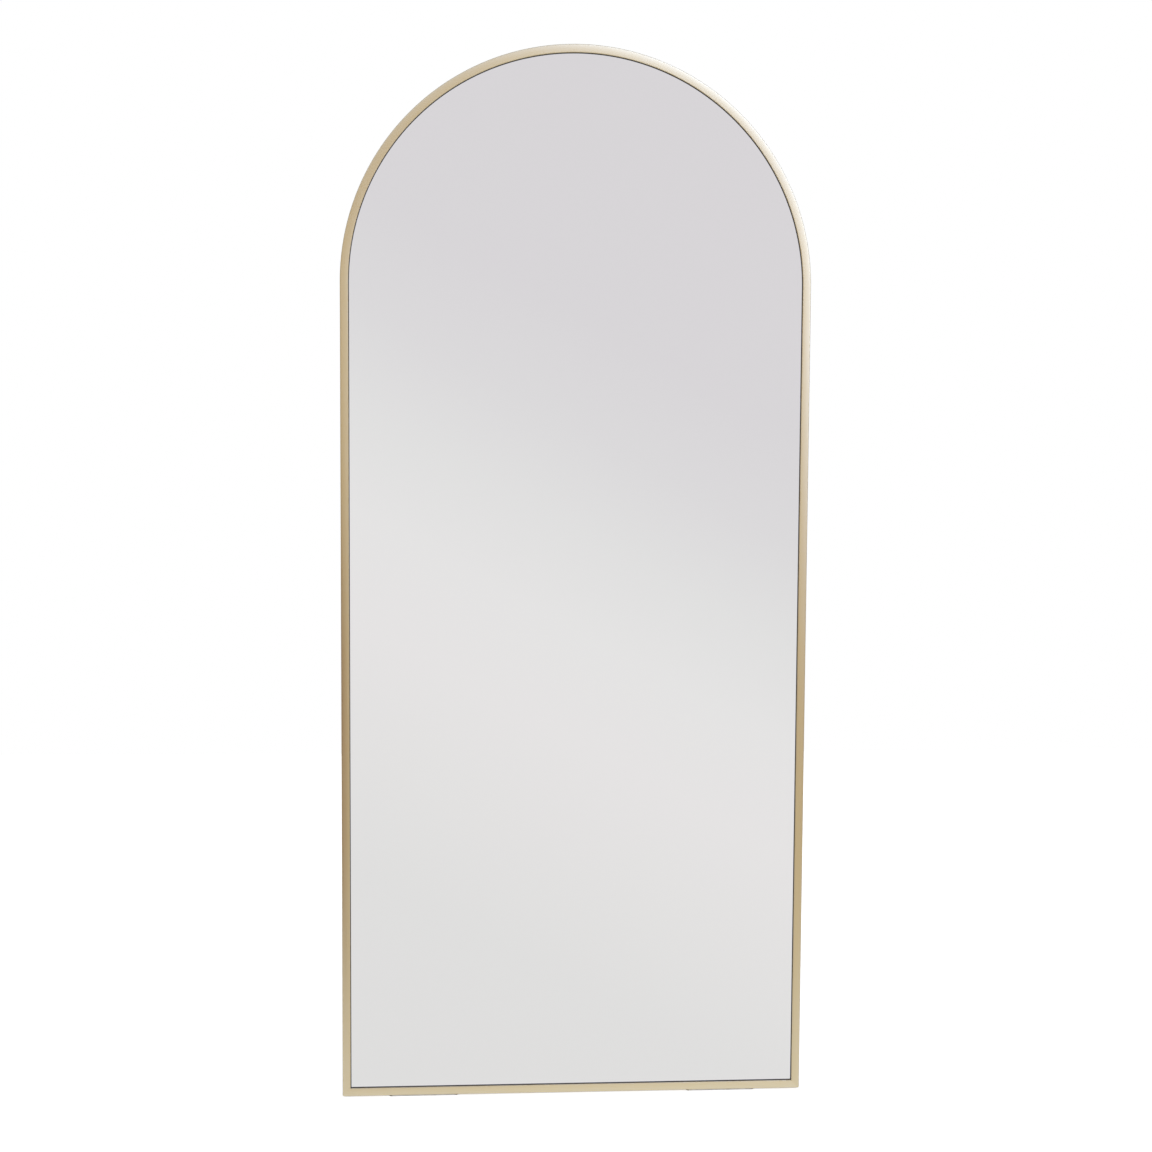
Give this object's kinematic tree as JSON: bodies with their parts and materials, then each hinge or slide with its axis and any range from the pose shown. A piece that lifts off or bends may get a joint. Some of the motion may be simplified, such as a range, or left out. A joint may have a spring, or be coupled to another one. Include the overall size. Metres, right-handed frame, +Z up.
{
  "type": "leaning floor mirror",
  "caption": "Tall leaning floor mirror with a half-round top, a slim satin metal frame and ring hangers on the back.",
  "frame": {"origin": "middle of the mirror's width and depth, on the floor under the foot pads", "axes": "+Z up along the stiles, +Y from the mirror's face to the wall behind it, +X to the right as seen from the front"},
  "size_m": [0.8, 0.0324, 1.8018],
  "materials": {
    "champagne_metal": "satin",
    "silvered_glass": "polished",
    "gasket_rubber": "matte",
    "key_metal": "matte",
    "plated_steel": "satin",
    "block_plastic": "matte",
    "film_plastic": "satin",
    "foam_sheet": "matte",
    "batten_wood": "matte",
    "honeycomb_card": "matte",
    "hardboard": "satin",
    "pad_rubber": "matte"
  },
  "bodies": {
    "mirror_frame": {"arched_rail": "champagne_metal", "bottom_rail": "champagne_metal", "mirror_glass": "silvered_glass", "glazing_gasket": "gasket_rubber", "left_corner_key": "key_metal", "right_corner_key": "key_metal", "corner_key_screws": "plated_steel", "board_screws": "plated_steel", "hanger_screws": "plated_steel", "left_hanger_strap": "plated_steel", "right_hanger_strap": "plated_steel", "left_setting_block": "block_plastic", "right_setting_block": "block_plastic", "safety_film": "film_plastic", "cushion_sheet": "foam_sheet", "upper_batten": "batten_wood", "middle_batten": "batten_wood", "lower_batten": "batten_wood", "top_packing_panel": "honeycomb_card", "upper_packing_panel": "honeycomb_card", "lower_packing_panel": "honeycomb_card", "bottom_packing_panel": "honeycomb_card", "backing_board": "hardboard", "top_wall_pad": "pad_rubber", "upper_left_bumper": "pad_rubber", "upper_right_bumper": "pad_rubber", "lower_left_bumper": "pad_rubber", "lower_right_bumper": "pad_rubber", "left_foot_pad": "pad_rubber", "right_foot_pad": "pad_rubber"},
    "left_ring": {"left_hanger_ring": "plated_steel"},
    "right_ring": {"right_hanger_ring": "plated_steel"}
  },
  "joints": [
    {"name": "left_ring_swing", "type": "hinge", "parent": "mirror_frame", "child": "left_ring", "pos_m": [-0.26, 0.00978, 1.315], "axis": [1, 0, 0], "range_deg": [0, 175]},
    {"name": "right_ring_swing", "type": "hinge", "parent": "mirror_frame", "child": "right_ring", "pos_m": [0.26, 0.00978, 1.315], "axis": [1, 0, 0], "range_deg": [0, 175]}
  ]
}
